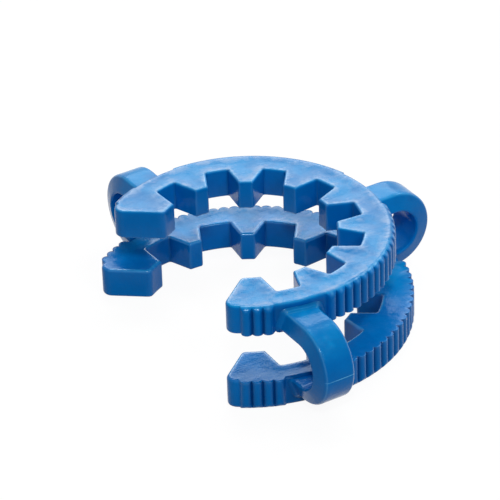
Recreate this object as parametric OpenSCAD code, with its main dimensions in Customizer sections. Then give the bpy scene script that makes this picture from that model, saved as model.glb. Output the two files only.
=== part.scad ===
// Spring clip for a ground glass joint, moulded in one piece.
// Two open rings with toothed bores stand one above the other, joined by three C-shaped loops.
// The upper ring closes on the cone's tube, the wider lower ring on the socket below its rim.
// Origin: middle of the bores, on the floor. The mouth opens towards -Y, the middle loop stands at +Y.

/* [Upper ring] */
// Outside diameter of the upper ring, over its ribs
top_od = 31.7; // [31:0.1:38]
// Diameter of the circle through the upper ring's tooth tips
top_bore = 19.6; // [16:0.1:22]
// Diameter of the valleys between the upper ring's teeth
top_root_d = 25.3; // [23.5:0.1:26.5]
// Height of the upper ring's wall
top_thick = 3.38; // [2.6:0.01:4]

/* [Lower ring] */
// Outside diameter of the lower ring, over its ribs
low_od = 35.6; // [34.9:0.1:43]
// Diameter of the circle through the lower ring's tooth tips
low_bore = 23.6; // [19:0.1:26]
// Diameter of the valleys between the lower ring's teeth
low_root_d = 29.1; // [27.5:0.1:30.5]
// Height of the lower ring's wall
low_thick = 3.42; // [2.4:0.01:3.8]

/* [Both rings] */
// Height of the clip over both rings
clip_h = 11.36; // [9.5:0.02:14]
// How far the rims are set back from the bores' middle, so that the wall is thickest at the back
rim_shift = 0.25; // [0:0.05:0.6]
// Radius of the smooth rim's edge at the top of the upper ring and at the bottom of the lower one
edge_round = 0.37; // [0.2:0.01:0.6]

/* [Teeth] */
// Teeth in each ring, without the two jaws
tooth_count = 7; // [3:2:7]
// Angle from one tooth to the next
tooth_step = 29; // [26:0.5:30]
// Width of a tooth across its tip
tooth_tip = 1.58; // [1:0.02:1.9]
// Width of a tooth across its root
tooth_root = 4.03; // [3.2:0.01:4.9]

/* [Jaws] */
// Angle of the mouth between the two jaws' tips
mouth_angle = 109.2; // [104:0.2:114]
// Slope of each jaw's end face from the clip's middle plane
mouth_flare = 38; // [30:1:44]
// Radius of each jaw's outer corner
jaw_round = 1.1; // [0.6:0.1:1.4]
// Radius of each jaw's inner corner, where its end face meets the bore
jaw_tip_round = 0.6; // [0.2:0.05:0.8]
// How far the jaws' tips reach in past the circle through the teeth's tips
jaw_reach = 0.3; // [0.1:0.05:0.45]

/* [Grip ribs] */
// Angle of the upper ring's first rib behind each side loop, counted from the side
top_rib_first = 2.2; // [1.5:0.1:4]
// Angle from one rib to the next on the upper ring
top_rib_step = 4.42; // [3.8:0.02:4.6]
// Ribs in the upper ring's row from each side loop to the back one
top_rib_count = 17; // [8:1:17]
// Angle of the first rib on each of the upper ring's jaws, counted from the side
top_jaw_first = 24.1; // [22:0.1:26]
// Ribs on each of the upper ring's jaws
top_jaw_ribs = 3; // [1:1:3]
// Angle of the lower ring's first rib behind each side loop, counted from the side
low_rib_first = 2.5; // [1.5:0.1:4]
// Angle from one rib to the next on the lower ring
low_rib_step = 3.98; // [3.5:0.02:4.1]
// Ribs in the lower ring's row from each side loop to the back one
low_rib_count = 19; // [8:1:19]
// Angle of the first rib on each of the lower ring's jaws, counted from the side
low_jaw_first = 21.8; // [20:0.1:24]
// Ribs on each of the lower ring's jaws
low_jaw_ribs = 4; // [1:1:4]
// Share of the rings' own step at which the ribs follow one another on the jaws
jaw_rib_share = 0.962; // [0.9:0.002:1]
// Radius of a rib's round back
rib_round = 0.62; // [0.5:0.02:0.9]
// Height of a rib above the smooth rim
rib_height = 0.46; // [0.2:0.02:0.5]
// How far a rib's end lies below the face at the rim's round edge
rib_drop = 0.05; // [0.04:0.01:0.4]
// Radius that rounds a rib's end
rib_end_round = 0.75; // [0.4:0.01:0.9]

/* [Spring loops] */
// Thickness of a loop's strip
loop_thick = 2; // [1.4:0.05:2.4]
// Width of the strip across its outer face
loop_outer_w = 3.4; // [2.6:0.1:4]
// Width of the strip across its inner face
loop_inner_w = 4.7; // [3.6:0.1:5.2]
// Radius of the strip's two outer edges
loop_edge_round = 0.4; // [0.2:0.05:0.6]
// How far the bend's middle lies outside the lower ring's rim
loop_stand = 0.2; // [0.1:0.05:1.5]
// How far the upper limb's inner face lies above the upper ring's bottom face
limb_rise = 0.25; // [0.1:0.05:0.8]
// How far the lower limb's inner face lies below the lower ring's top face
limb_drop = 0.28; // [0.02:0.02:0.5]
// How far the two side loops are set towards the mouth
side_loop_set = 2.7; // [1.5:0.1:3.5]
// Radius in the corner between a limb and a rim
root_fillet = 0.8; // [0.3:0.1:1.2]

/* [Hidden] */
$fn = 96;
// Longer than anything that a cut has to cross
far = 60;
// How far a flank runs on past the circle that trims it
over = 0.5;
// How deep a root's web reaches into the wall and the limb that it joins
web_in = 1;
// A turned round ends this far outside the wall that it cuts, so that it crosses it
round_out = 0.03;
// A jaw's round passes this far through its end line and its circle, so that it crosses both
corner_out = 0.01;

// Heights of the two limbs' inner faces, and the bend between them
limb_top_z = clip_h - top_thick + limb_rise;
limb_low_z = low_thick - limb_drop;
bend_z = (limb_top_z + limb_low_z) / 2;
bend_r = (limb_top_z - limb_low_z) / 2;
bend_x = low_od / 2 + loop_stand;
// Lean of the strip's side faces
side_lean = atan((loop_inner_w - loop_outer_w) / 2 / loop_thick);
// Each loop's place: the way it points, and how far it is set to its own left
LOOPS = [[90, 0], [0, -side_loop_set], [180, side_loop_set]];

function unit(a) = [cos(a), sin(a)];
function rim_middle() = [0, rim_shift];
function smooth_r(od) = od / 2 - rib_height;

// The right jaw's end line starts at its tip and runs outwards; its normal points into the mouth
function jaw_way() = unit(mouth_flare - 90);
function jaw_normal() = unit(mouth_flare - 180);
function jaw_r(bore) = bore / 2 - jaw_reach;
function jaw_tip(bore) = line_hit(bore / 2 * unit(mouth_angle / 2 - 90), jaw_way(), [0, 0], jaw_r(bore));

// Where a line from p leaves the circle of radius r round c
function line_hit(p, way, c, r) =
    let (q = p - c, b = q * way) p + way * (sqrt(b * b - q * q + r * r) - b);

// The ribs' angles on the right side, counted from +X: a row behind the side loop, and one on the jaw
function rib_angles(first, step, count, jaw_first, jaw_count) = concat(
    [for (i = [0:count - 1]) first + i * step],
    [for (i = [0:jaw_count - 1]) -jaw_first - i * jaw_rib_share * step]
);
TOP_RIBS = rib_angles(top_rib_first, top_rib_step, top_rib_count, top_jaw_first, top_jaw_ribs);
LOW_RIBS = rib_angles(low_rib_first, low_rib_step, low_rib_count, low_jaw_first, low_jaw_ribs);

// All the ribs' round backs, which reach into the wall
module ribs_plan(od, ribs) {
    for (right = ribs, a = [right, 180 - right])
        translate(rim_middle() + (od / 2 - rib_round) * unit(a)) circle(r = rib_round);
}

// A tooth stands on the +Y side, and its flanks run on past the bore and the valleys
module tooth(bore, root_d) {
    slope = (tooth_root - tooth_tip) / (root_d - bore);
    inner = tooth_tip / 2 - slope * over;
    outer = tooth_root / 2 + slope * over;
    polygon([
        [-inner, bore / 2 - over], [inner, bore / 2 - over],
        [outer, root_d / 2 + over], [-outer, root_d / 2 + over],
    ]);
}

// The two jaws and the mouth between them: all that lies past the middles of the last teeth
module jaw_sector() {
    way = far * unit(90 - (tooth_count + 1) / 2 * tooth_step);
    polygon([[0, 0], way, [0, -far], [-way[0], way[1]]]);
}

// The teeth numbered in places, each turned by so many steps from +Y
module teeth(places, bore, root_d) {
    for (i = places) rotate(i * tooth_step) tooth(bore, root_d);
}

// The toothed hollow: the valleys' circle without the teeth and jaws, the bore without the jaws'
// tips, and the circle that ends those tips
module hollow(bore, root_d) {
    last = (tooth_count + 1) / 2;
    difference() {
        circle(d = root_d);
        teeth([-last:last], bore, root_d);
        jaw_sector();
    }
    difference() {
        circle(d = bore);
        teeth([-last, last], bore, root_d);
        jaw_sector();
    }
    circle(r = jaw_r(bore));
}

module mouth(bore) {
    tip = jaw_tip(bore);
    out = tip + jaw_way() * far;
    polygon([[0, 0], tip, out, [-out[0], out[1]], [-tip[0], tip[1]]]);
}

// What a round takes off the right jaw where its end line crosses the circle of radius r round c.
// The jaw lies inside that circle at the rim (inside = 1) and outside it at the bore (inside = -1)
module corner_cut(bore, c, r, round, inside) {
    inset = round - corner_out;
    centre = line_hit(jaw_tip(bore) - jaw_normal() * inset, jaw_way(), c, r - inside * inset);
    way = inside * (centre - c) / (r - inside * inset);
    corner = line_hit(jaw_tip(bore), jaw_way(), c, r);
    difference() {
        polygon([
            centre, centre + way * (round + 1), corner + way + jaw_normal(),
            centre + jaw_normal() * (round + 1),
        ]);
        translate(centre) circle(r = round);
    }
}

module jaw_rounds(od, bore) {
    corner_cut(bore, rim_middle(), smooth_r(od), jaw_round, 1);
    corner_cut(bore, [0, 0], jaw_r(bore), jaw_tip_round, -1);
}

module ring_plan(od, bore, root_d) {
    difference() {
        translate(rim_middle()) circle(r = smooth_r(od));
        hollow(bore, root_d);
        mouth(bore);
        jaw_rounds(od, bore);
        mirror([1, 0]) jaw_rounds(od, bore);
    }
}

// What turning a round of radius round takes off a wall of radius r below the height top
module turned_round(r, round, top) {
    translate([0, rim_shift, top - round]) rotate_extrude() difference() {
        translate([r + round_out - round, 0]) square(round + 1);
        translate([r + round_out - round, 0]) circle(r = round);
    }
}

// A ring is its plan, extruded, with a round upper edge on its rim and round-ended ribs round it
module ring(od, bore, root_d, thick, ribs) {
    difference() {
        linear_extrude(height = thick) ring_plan(od, bore, root_d);
        turned_round(smooth_r(od), edge_round, thick);
    }
    difference() {
        linear_extrude(height = thick - rib_drop) ribs_plan(od, ribs);
        turned_round(od / 2, rib_end_round, thick - rib_drop);
    }
}

// The strip's section: x runs from the inner face outwards, y across its width
module strip(x0) {
    // along a side face, its tangent to the round lies round_reach from the sharp edge
    round_reach = loop_edge_round * tan(45 - side_lean / 2);
    side = [-cos(side_lean), sin(side_lean)];
    top = x0 + loop_thick;
    difference() {
        polygon([
            [x0, -loop_inner_w / 2], [top, -loop_outer_w / 2],
            [top, loop_outer_w / 2], [x0, loop_inner_w / 2],
        ]);
        for (m = [0, 1]) mirror([0, m]) difference() {
            edge = [top, loop_outer_w / 2];
            middle = edge - [loop_edge_round, round_reach];
            polygon([
                middle, middle + [loop_edge_round, 0], middle + [loop_edge_round + 1, 0],
                edge + [1, 1], edge + side * round_reach + [0, 1], edge + side * round_reach,
            ]);
            translate(middle) circle(r = loop_edge_round);
        }
    }
}

// The bend of a loop that points along +X
module bend() {
    translate([bend_x, 0, bend_z]) rotate([90, 0, 0]) rotate([0, 0, -90])
        rotate_extrude(angle = 180) strip(bend_r);
}

// A straight limb, its outer face up
module limb(start) {
    rotate([90, 0, 90]) translate([0, 0, start]) linear_extrude(height = bend_x - start)
        rotate(90) strip(0);
}

// The web that fills the corner between a limb's side and a smooth rim of radius r round c
module root_web(side, c, r) {
    edge = side * loop_inner_w / 2;
    y = edge + side * root_fillet;
    fillet = [c[0] + sqrt(pow(r + root_fillet, 2) - pow(y - c[1], 2)), y];
    way = (fillet - c) / (r + root_fillet);
    wall = c[0] + sqrt(pow(r - web_in, 2) - pow(edge - c[1], 2));
    in_limb = edge - side * web_in;
    intersection() {
        translate([0, -far / 2, 0]) cube([far, far, loop_thick]);
        translate([0, edge, 0]) rotate([side * side_lean, 0, 0]) translate([0, -edge, -loop_thick])
            linear_extrude(height = loop_thick * 3) difference() {
                polygon([[wall, in_limb], [fillet[0], in_limb], fillet, c + way * r, c + way * (r - web_in)]);
                translate(fillet) circle(r = root_fillet);
            }
    }
}

// A limb from the middle of its ring's wall, with a web on either side
module rooted_limb(c, od, root_d) {
    limb((root_d / 2 + smooth_r(od)) / 2);
    for (side = [-1, 1]) root_web(side, c, smooth_r(od));
}

// A whole loop: its bend and two limbs, with the rims' middle seen from its own place
module loop(way, set) {
    c = [rim_shift * sin(way), rim_shift * cos(way) - set];
    rotate(way) translate([0, set, 0]) {
        bend();
        translate([0, 0, limb_top_z]) rooted_limb(c, top_od, top_root_d);
        translate([0, 0, limb_low_z]) mirror([0, 0, 1]) rooted_limb(c, low_od, low_root_d);
    }
}

module joint_clip() {
    color("royalblue") union() {
        translate([0, 0, clip_h - top_thick])
            ring(top_od, top_bore, top_root_d, top_thick, TOP_RIBS);
        translate([0, 0, low_thick]) mirror([0, 0, 1])
            ring(low_od, low_bore, low_root_d, low_thick, LOW_RIBS);
        for (l = LOOPS) loop(l[0], l[1]);
    }
}

joint_clip();
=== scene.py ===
import math

import bmesh
import bpy
import numpy as np
from mathutils import Matrix, Vector


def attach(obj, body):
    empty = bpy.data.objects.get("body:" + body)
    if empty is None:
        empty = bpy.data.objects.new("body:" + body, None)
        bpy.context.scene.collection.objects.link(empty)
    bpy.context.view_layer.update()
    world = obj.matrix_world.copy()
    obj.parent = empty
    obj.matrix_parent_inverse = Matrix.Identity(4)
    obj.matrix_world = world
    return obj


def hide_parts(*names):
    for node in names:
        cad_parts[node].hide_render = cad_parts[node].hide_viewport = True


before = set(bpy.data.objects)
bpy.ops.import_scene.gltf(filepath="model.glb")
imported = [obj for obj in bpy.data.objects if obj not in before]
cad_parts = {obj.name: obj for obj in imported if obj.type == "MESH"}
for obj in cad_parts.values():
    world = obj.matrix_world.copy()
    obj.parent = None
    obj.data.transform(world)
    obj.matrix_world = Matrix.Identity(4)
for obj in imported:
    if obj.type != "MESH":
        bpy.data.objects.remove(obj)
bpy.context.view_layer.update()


# ---- Camera ------------------------------------------------------------------------------------
# A long lens on a stand, to the clip's right and above it. It is a little rolled and looks past
# the clip's middle.
MM = 0.001


def place_camera(azimuth, elevation, roll, distance, aim, lens):
    """Looks along (-sin az cos el, cos az cos el, -sin el), and the roll turns its right and up
    about that line. Lengths are in millimetres. The picture's middle lies aim[0] to the right of
    and aim[1] above the point at the height aim[2] on the clip's axis."""
    az, el, ro = (math.radians(v) for v in (azimuth, elevation, roll))
    ahead = Vector((-math.sin(az) * math.cos(el), math.cos(az) * math.cos(el), -math.sin(el)))
    level = Vector((math.cos(az), math.sin(az), 0))
    steep = level.cross(ahead)
    right = level * math.cos(ro) + steep * math.sin(ro)
    up = steep * math.cos(ro) - level * math.sin(ro)
    middle = (Vector((0, 0, aim[2])) + right * aim[0] + up * aim[1]) * MM
    data = bpy.data.cameras.new("camera")
    data.sensor_width, data.lens = 36, lens
    data.clip_start, data.clip_end = 0.02, 20
    camera = bpy.data.objects.new("camera", data)
    axes = Matrix((right, up, -ahead)).transposed().to_4x4()
    camera.matrix_world = Matrix.Translation(middle - ahead * distance * MM) @ axes
    bpy.context.scene.collection.objects.link(camera)
    bpy.context.scene.camera = camera


place_camera(azimuth=58.95, elevation=32.01, roll=-1.89, distance=364.3,
             aim=(0.327, 2.689, 5.55), lens=243.5)


# ---- Floor and light ---------------------------------------------------------------------------
# A sheet of white paper lies under the clip, and a tent of white cloth stands over it. Lamps shine
# through the cloth, so that soft white light comes from all round.
PAPER, THIN_PAPER, PAPER_GLOW = 0.4, 0.09, 0.93
TENT_DIM, TENT_WHITE = 0.24, 1.0
LAMP_DISTANCE, LAMP_AIM = 0.7, (0, 0, 0.006)


class Socket:
    """One socket of a material, so that its maths reads as an expression."""

    def __init__(self, tree, out):
        self.tree, self.out = tree, out

    def node(self, kind, settings=None, inputs=None, out=0):
        """Adds a node, sets it up, then gives its sockets values or links."""
        made = self.tree.nodes.new(kind)
        for name, value in (settings or {}).items():
            setattr(made, name, value)
        for name, value in (inputs or {}).items():
            if isinstance(value, Socket):
                self.tree.links.new(value.out, made.inputs[name])
            else:
                made.inputs[name].default_value = value
        return Socket(self.tree, made.outputs[out] if made.outputs else None)

    def maths(self, operation, first, second):
        """A Math node on two values."""
        return self.node("ShaderNodeMath", {"operation": operation}, {0: first, 1: second})

    def __add__(self, other): return self.maths("ADD", self, other)
    def __radd__(self, other): return self.maths("ADD", other, self)
    def __sub__(self, other): return self.maths("SUBTRACT", self, other)
    def __rsub__(self, other): return self.maths("SUBTRACT", other, self)
    def __mul__(self, other): return self.maths("MULTIPLY", self, other)
    def __rmul__(self, other): return self.maths("MULTIPLY", other, self)
    def __truediv__(self, other): return self.maths("DIVIDE", self, other)

    def between(self, low, high):
        """0 below low, 1 above high, and a smooth step between them."""
        return self.node("ShaderNodeMapRange", {"interpolation_type": "SMOOTHSTEP"},
                         {"Value": self, "From Min": low, "From Max": high})

    def blend(self, first, second):
        """The colour first where this is 0, second where it is 1."""
        return self.node("ShaderNodeMix", {"data_type": "RGBA"},
                         {"Factor": self, "A": first, "B": second}, 2)


def new_tree(material):
    """The emptied node tree of a material or a world, as a socket that can add nodes to it."""
    material.use_nodes = True
    material.node_tree.nodes.clear()
    return Socket(material.node_tree, None)


def seen_directly(tree):
    """1 for rays that show the surroundings themselves: to the camera, in gloss, through glass."""
    rays = tree.node("ShaderNodeLightPath").out.node.outputs
    camera, gloss, through = (Socket(tree.tree, rays[f"Is {kind} Ray"])
                              for kind in ("Camera", "Glossy", "Transmission"))
    return tree.maths("MAXIMUM", tree.maths("MAXIMUM", camera, gloss), through)


def shown_as(tree, lighting, showing):
    """One shader for the light that falls on the clip, another where the surroundings are seen."""
    return tree.node("ShaderNodeMixShader", None, {0: seen_directly(tree), 1: lighting, 2: showing})


floor_mesh = bpy.data.meshes.new("floor")
floor_mesh.from_pydata([(-4, -4, 0), (4, -4, 0), (4, 4, 0), (-4, 4, 0)], [], [(0, 1, 2, 3)])
floor = bpy.data.objects.new("floor", floor_mesh)
bpy.context.scene.collection.objects.link(floor)
floor_look = bpy.data.materials.new("floor_white")
tree = new_tree(floor_look)
paper, thin = (tree.node("ShaderNodeBsdfDiffuse", None, {"Color": (grey, grey, grey, 1)})
               for grey in (PAPER, THIN_PAPER))
glow = tree.node("ShaderNodeEmission", None, {"Color": (1, 1, 1, 1), "Strength": PAPER_GLOW})
bright = tree.node("ShaderNodeAddShader", None, {0: thin, 1: glow})
tree.node("ShaderNodeOutputMaterial", None, {"Surface": shown_as(tree, paper, bright)})
floor_mesh.materials.append(floor_look)

world = bpy.data.worlds.new("surroundings")
bpy.context.scene.world = world
tree = new_tree(world)
dim, white = (tree.node("ShaderNodeBackground", None, {"Color": (1, 1, 1, 1), "Strength": strength})
              for strength in (TENT_DIM, TENT_WHITE))
tree.node("ShaderNodeOutputWorld", None, {"Surface": shown_as(tree, dim, white)})


def soft_box(name, azimuth, elevation, size, radiance):
    """A rectangular lamp that faces the clip from the given side, azimuth counted as the camera's.
    Its power is pi times its area times its radiance."""
    az, el = math.radians(azimuth), math.radians(elevation)
    way = Vector((math.sin(az) * math.cos(el), -math.cos(az) * math.cos(el), math.sin(el)))
    data = bpy.data.lights.new(name, "AREA")
    data.shape, data.size, data.size_y = "RECTANGLE", size[0], size[1]
    data.energy = math.pi * size[0] * size[1] * radiance
    lamp = bpy.data.objects.new(name, data)
    lamp.location = way * LAMP_DISTANCE + Vector(LAMP_AIM)
    lamp.rotation_euler = way.to_track_quat("Z", "Y").to_euler()
    bpy.context.scene.collection.objects.link(lamp)


soft_box("front_box", 60, 50, (0.1, 0.1), 36)
soft_box("right_box", 97, 42, (0.25, 0.3), 4.2)
soft_box("far_right_box", 198, 45, (0.3, 0.25), 4.8)
soft_box("back_box", 239, 62, (0.25, 0.22), 6.5)
soft_box("low_back_box", 239, 29, (0.34, 0.22), 3.3)
bpy.context.scene.view_settings.view_transform = "Standard"


# ---- The two rings -----------------------------------------------------------------------------
# Open rings with a toothed bore: the upper one closes on the cone's tube, the wider lower one on
# the socket. They are moulded plastic, 3.4 mm high, with fine grip ribs on their rims, small rounds
# on every edge and faces that sank a little as they cooled. Their sizes are in millimetres.
TOOTH_STEP = math.radians(29)
TOOTH_TIP, TOOTH_ROOT = 1.58, 4.03
MOUTH_ANGLE = 109.2
JAW_TIP = math.radians(180 - MOUTH_ANGLE / 2)
FLARE = math.radians(38)
JAW_REACH, JAW_TIP_ROUND, JAW_ROUND = 0.3, 0.6, 1.1
RIM_SHIFT = 0.25
RIM_MIDDLE = np.array([0, RIM_SHIFT])
RIB_HEIGHT, RIB_ROUND, RIB_END, RIB_BLEND = 0.46, 0.62, 0.75, 0.015
RIM_ROUND, EDGE_ROUND, CORNER_SOFTENING = 0.37, 0.28, 0.115
SINK, SINK_REACH = 0.09, 1.1
WALL_LEVELS = np.array([1.2, 0.85, 0.72, 0.6, 0.52])
BACK_LEFT, BACK_REACH = np.array([-0.64, 0.77]), 13
SIDE_LOOP_SET, LOOP_INNER_W = 2.7, 4.7
RINGS = {
    "upper": {"z": 7.98, "thick": 3.38, "od": 31.7, "bore": 19.6, "valley": 25.3, "base_round": 0.2,
              "ribs": np.r_[2.2 + 4.42 * np.arange(17), -24.1 - 4.23 * np.arange(3)]},
    "lower": {"z": 0.0, "thick": 3.42, "od": 35.6, "bore": 23.6, "valley": 29.1, "base_round": 0.32,
              "ribs": np.r_[2.5 + 3.98 * np.arange(19), -21.8 - 3.85 * np.arange(4)]},
}


def on_arc(centre, r, start, end, count=400):
    """Points on a circle, anticlockwise from the angle start to the angle end."""
    end = start + (end - start) % (2 * math.pi)
    a = np.linspace(start, end, count)
    return centre + r * np.stack([np.cos(a), np.sin(a)], -1)


def along(p, way, centre, r):
    """Where the line from p leaves the circle of radius r round centre: with q = p - centre it goes
    on by sqrt((q.way)^2 - q.q + r^2) - q.way."""
    q = p - centre
    return p + way * (math.sqrt((q @ way) ** 2 - q @ q + r * r) - q @ way)


def angle(v):
    """The angle of a plan direction, anticlockwise from +X."""
    return math.atan2(v[1], v[0])


def chord(values):
    """Round a closed outline, each point's step from three points back to three points ahead."""
    return np.roll(values, -3, 0) - np.roll(values, 3, 0)


def ring_plan(rim_r, bore_r, valley_r):
    """The closed outline of a ring, evenly spaced, with every corner softened.
    In a tooth's own frame its flank is the line x = w/2 + s (y - bore_r), so at the angle a from
    its middle r = (w/2 - s bore_r) / (sin a - s cos a), held between the bore and the valleys. A
    jaw's end face is a straight line between two circles that touch it and the bore or the rim."""
    slope = (TOOTH_ROOT - TOOTH_TIP) / 2 / (valley_r - bore_r)
    tip = bore_r * np.array([math.sin(JAW_TIP), math.cos(JAW_TIP)])
    way = np.array([math.sin(FLARE), -math.cos(FLARE)])
    face = np.array([-math.cos(FLARE), -math.sin(FLARE)])
    jaw_r = bore_r - JAW_REACH
    inner = along(tip - face * JAW_TIP_ROUND - way, way, np.zeros(2), jaw_r + JAW_TIP_ROUND)
    outer = along(tip - face * JAW_ROUND, way, RIM_MIDDLE, rim_r - JAW_ROUND)
    # each side has half the middle tooth and three more, and the jaw starts where a fourth would
    a = np.linspace(0, math.pi / 2 - angle(inner), 6000)
    off = np.abs((a + TOOTH_STEP / 2) % TOOTH_STEP - TOOTH_STEP / 2)
    off = np.where(a > 4 * TOOTH_STEP, 0, off)
    r = (TOOTH_TIP / 2 - slope * bore_r) / (np.sin(off) - slope * np.cos(off))
    r = np.clip(r, np.where(a > 3.5 * TOOTH_STEP, jaw_r, bore_r), valley_r)
    half = np.concatenate([
        np.stack([r * np.sin(a), r * np.cos(a)], -1),
        on_arc(inner, JAW_TIP_ROUND, angle(-inner), angle(face)),
        on_arc(outer, JAW_ROUND, angle(face), angle(outer - RIM_MIDDLE)),
        on_arc(RIM_MIDDLE, rim_r, angle(outer - RIM_MIDDLE), math.pi / 2, 4000),
    ])
    whole = np.concatenate([half, half[::-1] * (-1, 1)])
    length = np.r_[0, np.cumsum(np.hypot(*np.diff(whole, axis=0).T))]
    count = 12000
    even = np.linspace(0, length[-1], count, endpoint=False)
    even = np.stack([np.interp(even, length, whole[:, i]) for i in (0, 1)], -1)
    # each corner is averaged over a tenth of a millimetre, as the mould maker's cutter left it
    waves = np.fft.fftfreq(count, length[-1] / count)
    soften = np.exp(-2 * (math.pi * waves * CORNER_SOFTENING) ** 2)
    return np.real(np.fft.ifft(np.fft.fft(even, axis=0) * soften[:, None], axis=0))


def rib_bump(points, z, inset, ring):
    """How far the ribs stand out of the rim at its plan points and the heights z.
    A rib's back is a circle round a point inside the rim, so its radius at the angle d from that
    point is c cos d + sqrt(r^2 - c^2 sin^2 d). A quarter circle, turned about the rim's middle,
    rounds off all the ribs' ends and meets the top face where the rim's own round does. Where a rib
    is x above the rim the bump is (x + sqrt(x^2 + s^2)) / 2, so that it runs out softly."""
    od, thick = ring["od"], ring["thick"]
    rel = points - RIM_MIDDLE
    a = np.arctan2(rel[:, 1], np.abs(rel[:, 0]))
    c, d = od / 2 - RIB_ROUND, np.abs(a[:, None] - np.radians(ring["ribs"])).min(1)
    back = c * np.cos(d) + np.sqrt(np.maximum(RIB_ROUND ** 2 - (c * np.sin(d)) ** 2, 0))
    back = np.where(c * d < RIB_ROUND, back, 0)[:, None]
    past = np.clip(z - thick + RIB_END, 0, None)
    end = od / 2 - RIB_END + np.sqrt(np.maximum(RIB_END ** 2 - past ** 2, 0))
    over = np.minimum(back, end) - (od / 2 - RIB_HEIGHT - inset)
    return np.where(over < -1, 0, (over + np.sqrt(over ** 2 + RIB_BLEND ** 2)) / 2)


def smooth_normals(points):
    """Outward plan normals of an anticlockwise or clockwise closed outline, from its neighbours."""
    ahead = chord(points)
    n = np.stack([ahead[:, 1], -ahead[:, 0]], -1)
    n /= np.hypot(*n.T)[:, None]
    x, y = points.T
    area = np.sum(x * np.roll(y, -1) - np.roll(x, -1) * y)
    return n * np.sign(area)


def near(points, angles, ring, width):
    """1 at the given angles of the rim, falling off beside them as exp(-(distance / width)^2)."""
    rel = points - RIM_MIDDLE
    a = np.degrees(np.arctan2(rel[:, 1], np.abs(rel[:, 0])))
    away = np.radians(np.abs(a[:, None] - angles).min(1)) * ring["od"] / 2
    return np.exp(-(away / width) ** 2)[:, None]


def beside_roots(points, width=0.9):
    """1 where a loop's limb meets the rim, falling off beside it as exp(-(distance / width)^2)."""
    from_side = np.abs(points[:, 1] + SIDE_LOOP_SET)
    from_back = np.where(points[:, 1] < 0, np.inf, np.abs(points[:, 0]))
    away = np.clip(np.minimum(from_side, from_back) - LOOP_INNER_W / 2, 0, None)
    return np.exp(-(away / width) ** 2)[:, None]


def wall_columns(points, normals, turning, edge, ring, ribbed=False):
    """The wall over plan points: the small round below, WALL_LEVELS below the top, the round edge.
    At the angle b from the wall, a round of radius e is set back by e (1 - cos b) and has risen by
    e sin b. Each point also carries its shares: flat face, pale border of wear and painted sheen,
    painted highlight, painted shade."""
    thick, base = ring["thick"], ring["base_round"]
    low, high = np.radians([90, 67, 45, 22, 0]), np.radians([0, 18, 36, 54, 72, 90])
    ones = np.ones((len(points), 1))
    straight = thick - WALL_LEVELS
    inset = np.concatenate([base * (1 - np.cos(low)) * ones, 0 * straight * ones,
                            edge[:, None] * (1 - np.cos(high))], 1)
    z = np.concatenate([base * (1 - np.sin(low)) * ones, straight * ones,
                        thick - edge[:, None] * (1 - np.sin(high))], 1)
    plan = points[:, None] - normals[:, None] * inset[..., None]
    # painted highlight: a lighter share on the plan's outer corners, on the round below and high on
    # the round edge, where light would catch
    below, above = np.s_[:, :len(low)], np.s_[:, -len(high):]
    painted_glint = 0.35 * np.clip(turning / 3, 0, 1)[:, None] * np.ones_like(z)
    painted_glint[below] = np.maximum(painted_glint[below], np.sin(low * 0.9 + 0.15))
    painted_glint[above] = np.maximum(painted_glint[above], np.exp(-((np.degrees(high) - 80) / 20) ** 2))
    # painted shade: darker in the plan's inner corners, between neighbouring ribs and beside the
    # loops
    painted_shade_mark = 0.45 * np.clip(-turning / 3, 0, 1)[:, None] * np.ones_like(z)
    if ribbed:
        rel = points - RIM_MIDDLE
        out = rel / np.hypot(*rel.T)[:, None]
        plan = plan + out[:, None] * rib_bump(points, z, inset, ring)[..., None]
        fade = np.clip((thick - z) / 0.7, 0, 1)
        ribs = np.sort(ring["ribs"])
        between = (ribs[1:] + ribs[:-1])[np.diff(ribs) < 6] / 2
        painted_shade_mark = np.maximum(painted_shade_mark, near(points, between, ring, 0.25) * fade)
        painted_shade_mark = np.maximum(painted_shade_mark, 0.7 * beside_roots(points) * fade)
        # painted highlight on each rib just below its top, where its rounded end would catch the
        # light
        rib_ends = np.exp(-((thick - z - 0.22) / 0.2) ** 2)
        painted_glint = np.maximum(0.4 * painted_glint, near(points, ribs, ring, 0.2) * rib_ends)
    flat = np.zeros_like(z)
    flat[above] = np.clip((np.degrees(high) - 25) / 60, 0, 1)
    shares = np.stack([flat, flat, painted_glint, painted_shade_mark], -1)
    return np.concatenate([plan, z[..., None], shares], 2)


def face_between(first, last, sink):
    """The face between two edges, which has sunk by s (1 - exp(-(gap / reach)^2)) at each point,
    gap being how far it lies from the nearer edge. It carries the same shares as the walls."""
    share = np.array([0.05, 0.18, 0.36, 0.5, 0.64, 0.82, 0.95])[:, None]
    grid = first[:, None, :3] * (1 - share) + last[:, None, :3] * share
    edges = np.concatenate([first[:, :2], last[:, :2]])
    gap = np.stack([np.sqrt(((grid[:, j, None, :2] - edges) ** 2).sum(-1).min(-1))
                    for j in range(len(share))], -1)
    grid[..., 2] -= sink * (1 - np.exp(-(gap / SINK_REACH) ** 2))
    # pale scuff wear with painted sheen near the edges, and a painted highlight right at them
    worn_and_sheen, painted_glint = np.exp(-(gap / 0.8) ** 2), 0.5 * np.exp(-(gap / 0.15) ** 2)
    return np.concatenate([grid, np.stack([np.ones_like(gap), worn_and_sheen, painted_glint, 0 * gap], -1)], -1)


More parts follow.
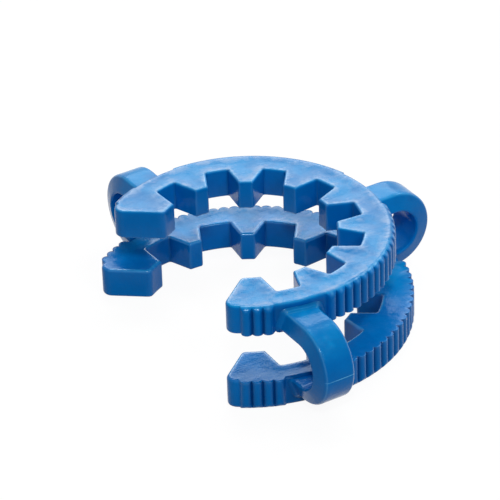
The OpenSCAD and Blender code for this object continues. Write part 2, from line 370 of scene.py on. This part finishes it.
def ring_sections(ring):
    """Closed sections from jaw to jaw, each across the band between a point on the teeth and one on
    the rim at the same angle: up the inner wall, over the top, down the rim and back below."""
    plan = ring_plan(ring["od"] / 2 - RIB_HEIGHT, ring["bore"] / 2, ring["valley"] / 2)
    normal, ahead = smooth_normals(plan), chord(plan)
    turning = (chord(normal) * ahead).sum(1) / (ahead ** 2).sum(1)
    a = np.arctan2(plan[:, 0], plan[:, 1])
    start = int(np.argmin(a))
    plan, normal, turning, a = (np.roll(v, -start, 0) for v in (plan, normal, turning[:, None], a))
    turn = int(np.argmax(a))
    teeth = np.arange(turn + 1)
    rim = np.r_[0, np.arange(len(a) - 1, turn - 1, -1)]

    def steps(side):
        """The distances between a side's neighbouring points."""
        return np.hypot(*np.diff(plan[side], axis=0).T)

    def picks(side, measure):
        """The angles at which a side's running total of the measure passes a whole number."""
        total = np.r_[0, np.cumsum(measure)]
        return np.interp(np.arange(0, total[-1], 1.0), total, a[side])

    # the teeth get sections by length and by bend
    tooth_pitch, tooth_bend = 0.9, math.radians(16)
    bend = np.abs(np.diff(np.unwrap(np.arctan2(*normal[teeth].T))))
    on_teeth = picks(teeth, steps(teeth) / tooth_pitch + bend / tooth_bend)
    # each rib gets thirteen sections, the same for all, and the smooth stretches get their own
    rim_pitch = 0.16
    beside = plan[rim] - RIM_MIDDLE
    around = np.maximum.accumulate(np.arctan2(beside[:, 0], beside[:, 1]))
    across_rib = np.array([-0.603, -0.57, -0.5, -0.4, -0.28, -0.14]) / (ring["od"] / 2)
    middles = math.pi / 2 - np.radians(ring["ribs"])
    marks = (np.r_[middles, -middles][:, None] + np.r_[across_rib, 0, -across_rib]).ravel()
    on_ribs = np.unique(np.round(np.interp(marks, around, a[rim]), 5))
    smooth = picks(rim, steps(rim) / rim_pitch)
    smooth = smooth[np.abs(smooth[:, None] - on_ribs).min(1) > 0.006]
    on_rim = np.sort(np.r_[on_ribs, smooth])
    on_teeth = on_teeth[np.abs(on_teeth[:, None] - on_rim).min(1) > 1.2e-3]
    stations = np.unique(np.r_[on_teeth, on_rim, a[turn]])
    stations[0], stations[-1] = a[0], a[turn]

    def at(side, values):
        """The values at the stations, read along one side."""
        order = np.maximum.accumulate(a[side])
        return np.stack([np.interp(stations, order, column) for column in values[side].T], -1)

    # the rim's wide round narrows to the small one over each jaw's outer corner
    wide = np.clip((a[turn] - np.abs(stations)) / 0.05, 0, 1)
    wide = EDGE_ROUND + (RIM_ROUND - EDGE_ROUND) * wide ** 2 * (3 - 2 * wide)
    walls = []
    for side, edge in ((teeth, np.full(len(stations), EDGE_ROUND)), (rim, wide)):
        n = at(side, normal)
        walls.append(wall_columns(at(side, plan), n / np.hypot(*n.T)[:, None],
                                  at(side, turning)[:, 0], edge, ring, side is rim))
    inner, outer = walls
    top = face_between(inner[:, -1], outer[:, -1], SINK)
    below = face_between(outer[:, 0], inner[:, 0], -SINK)
    return np.concatenate([inner, top, outer[:, ::-1], below], 1)


def skin(sections):
    """Quads between neighbouring closed sections, given as an array of sections by points."""
    rows, cols = sections.shape[:2]
    index = np.arange(rows * cols).reshape(rows, cols)
    a, b = index[:-1], index[1:]
    return np.stack([a, np.roll(a, -1, 1), np.roll(b, -1, 1), b], -1).reshape(-1, 4)


shells = []
for name, ring in RINGS.items():
    sections = ring_sections(ring)
    if name == "lower":
        sections[..., 2] = ring["thick"] - sections[..., 2]
        sections = sections[:, ::-1]
        # the lower ring's flat faces are painted darker away from the back left, as painted shade
        # under the upper ring: their pale wear, painted sheen and painted top light are weakened
        # there
        to_back = np.clip(sections[..., :2] @ BACK_LEFT / BACK_REACH, 0, 1)
        sections[..., 3] *= 0.15 + 0.95 * to_back ** 2
    sections[..., 2] += ring["z"]
    shells.append((sections.reshape(-1, 7), skin(sections)))


# ---- The three spring loops --------------------------------------------------------------------
# C-shaped strips that join the rings and let them be pushed apart: one at the back, one each side.
# Each is moulded with the rings, wider inside than outside, and swells into the rims at its roots.
LOOP_THICK, LOOP_OUTER_W = 2.0, 3.4
LOOP_OUTER_ROUND, LOOP_INNER_ROUND = 0.42, 0.22
BEND_X, ROOT_DEPTH = 18.0, 0.7
LIMB_TOP_Z, LIMB_LOW_Z = 8.23, 3.14
UPPER_ROOT_ROUNDS, LOWER_ROOT_ROUNDS = (0.8, 0.5, 0.33), (0.6, 0.5, 0.08)


def strip_section(per_corner=7):
    """The strip's rounded section as points (out, across) with their normals, going round once.
    Each corner is an arc from one side's normal to the next, and straight sides get points
    between."""
    t, wo, wi = LOOP_THICK, LOOP_OUTER_W / 2, LOOP_INNER_W / 2
    turn = math.pi / 2 - math.atan((wi - wo) / t)
    corners = [((t, wo), LOOP_OUTER_ROUND, 0, turn),
               ((0, wi), LOOP_INNER_ROUND, turn, math.pi),
               ((0, -wi), LOOP_INNER_ROUND, math.pi, 2 * math.pi - turn),
               ((t, -wo), LOOP_OUTER_ROUND, 2 * math.pi - turn, 2 * math.pi)]
    points, normals = [], []
    for corner, r, start, end in corners:
        half = (end - start) / 2
        inward = np.array([math.cos(start + half), math.sin(start + half)])
        a = np.linspace(start, end, per_corner)
        n = np.stack([np.cos(a), np.sin(a)], -1)
        points.append(np.array(corner) - r / math.cos(half) * inward + r * n)
        normals.append(n)
    points, normals = np.concatenate(points), np.concatenate(normals)
    ahead = np.roll(points, -1, 0)
    long = np.hypot(*(ahead - points).T) > 0.5
    order = np.arange(len(points))
    shares = (0.12, 0.37, 0.63, 0.88)
    points = np.concatenate([points] + [(points * (1 - k) + ahead * k)[long] for k in shares])
    normals = np.concatenate([normals] + [normals[long]] * len(shares))
    order = np.argsort(np.concatenate([order] + [order[long] + k for k in shares]))
    return points[order], normals[order]


def root(section, normals, z0, up, rim_r, centre, rounds):
    """One limb from inside the rim to the bend. The root's fillet of radius r touches the limb,
    whose normal is N, and the rim, whose normal is W: its middle lies r from both, and its points
    are middle - r (N cos b + M sin b), with M square to N towards W, and b from 0 to the angle
    between N and W. The rounds are the radii at the strip's sides, outer face and inner face."""
    r_side, r_out, r_in = rounds
    a, v = section.T
    n = np.stack([np.zeros(len(a)), normals[:, 1], up * normals[:, 0]], -1)
    r = r_side * n[:, 1] ** 2 + np.where(normals[:, 0] > 0, r_out, r_in) * n[:, 2] ** 2
    middle = np.stack([np.zeros(len(a)), v, z0 + up * a], -1) + n * r[:, None]
    middle[:, 0] = centre[0] + np.sqrt((rim_r + r) ** 2 - (middle[:, 1] - centre[1]) ** 2)
    w = middle - np.array([centre[0], centre[1], 0])
    w[:, 2] = 0
    w /= np.linalg.norm(w, axis=1)[:, None]
    cosine = (w * n).sum(1)
    m = w - n * cosine[:, None]
    m /= np.linalg.norm(m, axis=1)[:, None]
    full = np.arccos(np.clip(cosine, -1, 1))[:, None]
    rows = [middle - r[:, None] * (n * np.cos(full * k) + m * np.sin(full * k))
            for k in (1, 0.85, 0.7, 0.55, 0.4, 0.25, 0.12, 0)]
    inside = rows[0] - w * ROOT_DEPTH
    inside[:, 2] = z0 + up * np.clip(up * (inside[:, 2] - z0), 0.02, LOOP_THICK)
    limb_end = np.stack([np.full(len(a), BEND_X), v, z0 + up * a], -1)
    return [inside] + rows + [rows[-1] * (1 - k) + limb_end * k for k in (0.33, 0.66, 1)]


def loop_sections(way, shift):
    """A whole loop in its own frame, then turned to its place: limb, half circle, limb.
    At its angle a the half circle has x = bend + (r + out) cos a, z = middle + (r + out) sin a."""
    section, normals = strip_section()
    c, s = math.cos(way), math.sin(way)
    centre = (RIM_SHIFT * s, RIM_SHIFT * c - shift)
    rim_top, rim_low = (RINGS[name]["od"] / 2 - RIB_HEIGHT for name in ("upper", "lower"))
    upper = root(section, normals, LIMB_TOP_Z, 1, rim_top, centre, UPPER_ROOT_ROUNDS)
    lower = root(section, normals, LIMB_LOW_Z, -1, rim_low, centre, LOWER_ROOT_ROUNDS)
    a = np.radians(np.linspace(86, -86, 40))[:, None]
    out = (LIMB_TOP_Z - LIMB_LOW_Z) / 2 + section[:, 0]
    bend = np.stack([BEND_X + out * np.cos(a), section[:, 1] + 0 * a,
                     (LIMB_TOP_Z + LIMB_LOW_Z) / 2 + out * np.sin(a)], -1)
    rows = np.stack(upper + list(bend) + lower[::-1])
    # each point's shares, as on the rings: a limb's outer face where it faces up (pale wear,
    # painted sheen and painted top light), a painted highlight on its two outer corners and painted
    # shade at its roots
    shares = np.zeros(rows.shape[:2] + (4,))
    limb_rows = len(upper)
    rise = np.r_[np.ones(limb_rows), np.sin(a[:, 0]), -np.ones(limb_rows)][:, None]
    shares[..., 0] = np.clip(normals[:, 0], 0, 1) * np.clip((rise - 0.35) / 0.5, 0, 1) * 0.5
    lean = np.degrees(np.arctan2(np.abs(normals[:, 1]), normals[:, 0]))
    shares[..., 2] = 0.7 * np.exp(-((lean - 36) / 13) ** 2)
    root_shade = 0.6 * np.r_[1, 1, 0.9, 0.7, 0.45, 0.25, 0.1, np.zeros(limb_rows - 7)][:, None]
    shares[:limb_rows, :, 3] = root_shade
    shares[-limb_rows:, :, 3] = root_shade[::-1]
    rows = np.concatenate([rows, shares], 2)
    # both ends close to a point inside the rims
    ends = rows[[0, -1]].mean(1, keepdims=True) + 0 * rows[[0, -1]]
    rows = np.concatenate([ends[:1], rows, ends[1:]])
    x, y = rows[..., 0].copy(), rows[..., 1] + shift
    rows[..., 0], rows[..., 1] = x * c - y * s, x * s + y * c
    return rows


for way, shift in ((90, 0), (0, -SIDE_LOOP_SET), (180, SIDE_LOOP_SET)):
    sections = loop_sections(math.radians(way), shift)
    shells.append((sections.reshape(-1, 7), skin(sections)))


# ---- The clip as one moulding ------------------------------------------------------------------
# The rings and loops leave the mould as one piece of glossy blue plastic, so their skins share one
# mesh here. Their flat faces are painted pale, partly as scuffs from handling and partly as painted
# sheen and painted top light, and the mould's parting line is painted as a light line, a painted
# highlight.
# the shares that every point carries: flat face, near edge (pale wear and painted sheen), painted
# highlight and painted shade
SHARES = ("flat_face", "near_edge", "painted_highlight_share", "painted_shade_share")
SEAM_HALF_WIDTH, SEAM_STARTS, SEAM_IS_FULL = 0.00007, 22.2 * MM, 22.4 * MM
# colours: the plastic's own deep blues; lighter blues on the flat faces, painted top light; a pale
# blue for scuff wear with painted sheen; an edge blue and a seam blue, painted highlights; a
# near-black blue, painted shade
DEEP_BLUES = (0.0, 0.15, 0.52, 1), (0.0, 0.175, 0.58, 1)
PAINTED_TOP_LIGHT_BLUES = (0.0, 0.19, 0.54, 1), (0.0, 0.27, 0.66, 1)
WORN_AND_SHEEN_BLUE, PAINTED_GLINT_BLUE = (0.31, 0.46, 0.72, 1), (0.04, 0.46, 0.86, 1)
SEAM_HIGHLIGHT_BLUE, PAINTED_SHADE_BLUE = (0.1, 0.55, 0.95, 1), (0.0, 0.035, 0.2, 1)

clip_mesh = bpy.data.meshes.new("clip")
first = np.cumsum([0] + [len(v) for v, _ in shells])
columns = np.concatenate([v for v, _ in shells])
quads = np.concatenate([f + n for (_, f), n in zip(shells, first)])
clip_mesh.from_pydata((columns[:, :3] * MM).tolist(), [], quads.tolist())
for name, values in zip(SHARES, np.ascontiguousarray(columns[:, 3:].T, np.float32)):
    clip_mesh.attributes.new(name, "FLOAT", "POINT").data.foreach_set("value", values)
work = bmesh.new()
work.from_mesh(clip_mesh)
bmesh.ops.remove_doubles(work, verts=work.verts, dist=2e-7)
bmesh.ops.dissolve_degenerate(work, edges=work.edges, dist=1e-8)
bmesh.ops.recalc_face_normals(work, faces=work.faces)
work.to_mesh(clip_mesh)
work.free()
clip_mesh.polygons.foreach_set("use_smooth", np.ones(len(clip_mesh.polygons), bool))
clip = bpy.data.objects.new("joint_clip_moulding", clip_mesh)
bpy.context.scene.collection.objects.link(clip)
weighted = clip.modifiers.new("flat_faces_stay_flat", "WEIGHTED_NORMAL")
weighted.weight, weighted.keep_sharp = 50, False

plastic = bpy.data.materials.new("blue_plastic")
tree = new_tree(plastic)
place = Socket(tree.tree, tree.node("ShaderNodeTexCoord").out.node.outputs["Object"])
shares = [tree.node("ShaderNodeAttribute", {"attribute_name": name}) for name in SHARES]
flat_face, near_edge, painted_highlight_share, painted_shade_share = (
    Socket(tree.tree, share.out.node.outputs["Fac"]) for share in shares)


def noise(scale, detail=3, roughness=0.6, stretch=None):
    """Noise that follows the clip, with so many lumps to the metre, if need be stretched."""
    where = place
    if stretch:
        where = tree.node("ShaderNodeMapping", None, {"Vector": place, "Scale": stretch})
    return tree.node("ShaderNodeTexNoise", None,
                     {"Vector": where, "Scale": scale, "Detail": detail, "Roughness": roughness})


cloud, patch, grain, speck = noise(260), noise(700, 3, 0.55), noise(3000), noise(5200, 2)
scuff = noise(900, 4, 0.65, (1, 0.35, 1)).between(0.42, 0.62)
mottle = patch.between(0.4, 0.62)
# pale patches on the flat faces, most near their edges: partly real scuffs, partly painted sheen
wear_and_sheen = flat_face * (0.3 + 0.7 * near_edge) * (0.1 + 0.6 * mottle + 0.45 * scuff)
specks = flat_face * speck.between(0.6, 0.75) * mottle
# the flat faces get lighter blues than the walls: painted top light
deep = cloud.between(0.3, 0.7).blend(*DEEP_BLUES)
painted_top_light = cloud.between(0.36, 0.62).blend(*PAINTED_TOP_LIGHT_BLUES)
unworn_with_top_light = flat_face.between(0.0, 0.5).blend(deep, painted_top_light)
worn_and_sheen = (0.75 * wear_and_sheen + 0.2 * specks).between(0.0, 1.1).blend(unworn_with_top_light, WORN_AND_SHEEN_BLUE)
# painted highlight: a lighter blue along rounded edges, loop corners and rib ends
painted_glint = painted_highlight_share * painted_highlight_share * (0.3 + 0.3 * patch.between(0.3, 0.7))
with_painted_glint = painted_glint.blend(worn_and_sheen, PAINTED_GLINT_BLUE)
# where the mould's halves met, half way up, a fine line runs across each loop's outer face; its
# light blue is a painted highlight, as the parting line's crease would catch the light
across_x, across_y, height = (
    Socket(tree.tree, out)
    for out in tree.node("ShaderNodeSeparateXYZ", None, {0: place}).out.node.outputs)
outermost = tree.maths("MAXIMUM", tree.maths("ABSOLUTE", across_x, 0.0),
                       tree.maths("ABSOLUTE", across_y, 0.0))
off_line = tree.maths("ABSOLUTE", height - (LIMB_TOP_Z + LIMB_LOW_Z) / 2 * MM, 0.0)
seam_highlight = ((SEAM_HALF_WIDTH - off_line) / SEAM_HALF_WIDTH).between(0.0, 1.0)
seam_highlight = seam_highlight * outermost.between(SEAM_STARTS, SEAM_IS_FULL) * (0.4 + scuff)
lit = (0.8 * seam_highlight).between(0.0, 1.0).blend(with_painted_glint, SEAM_HIGHLIGHT_BLUE)
# painted shade: a near-black blue in inner corners, between ribs and at the loops' roots
colour = (0.75 * painted_shade_share).blend(lit, PAINTED_SHADE_BLUE)
rough = 0.11 + 0.08 * cloud.between(0.3, 0.7) + 0.06 * grain + 0.2 * wear_and_sheen
waves = tree.node("ShaderNodeBump", None,
                  {"Height": cloud + 0.5 * patch, "Strength": 0.9, "Distance": 0.00007})
bump = tree.node("ShaderNodeBump", None, {
    "Height": scuff + 0.3 * grain, "Strength": 0.6, "Distance": 0.000014, "Normal": waves})
look = tree.node("ShaderNodeBsdfPrincipled", None, {
    "Base Color": colour, "Roughness": rough, "Normal": bump, "IOR": 1.27,
    "Specular Tint": (0.1, 0.7, 1, 1), "Coat Roughness": 0.12,
    "Coat Weight": 0.8 * painted_highlight_share + 0.08 * flat_face + 0.5 * seam_highlight})
tree.node("ShaderNodeOutputMaterial", None, {"Surface": look})
clip_mesh.materials.append(plastic)
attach(clip, "root")
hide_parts("joint_clip")

bpy.context.view_layer.update()
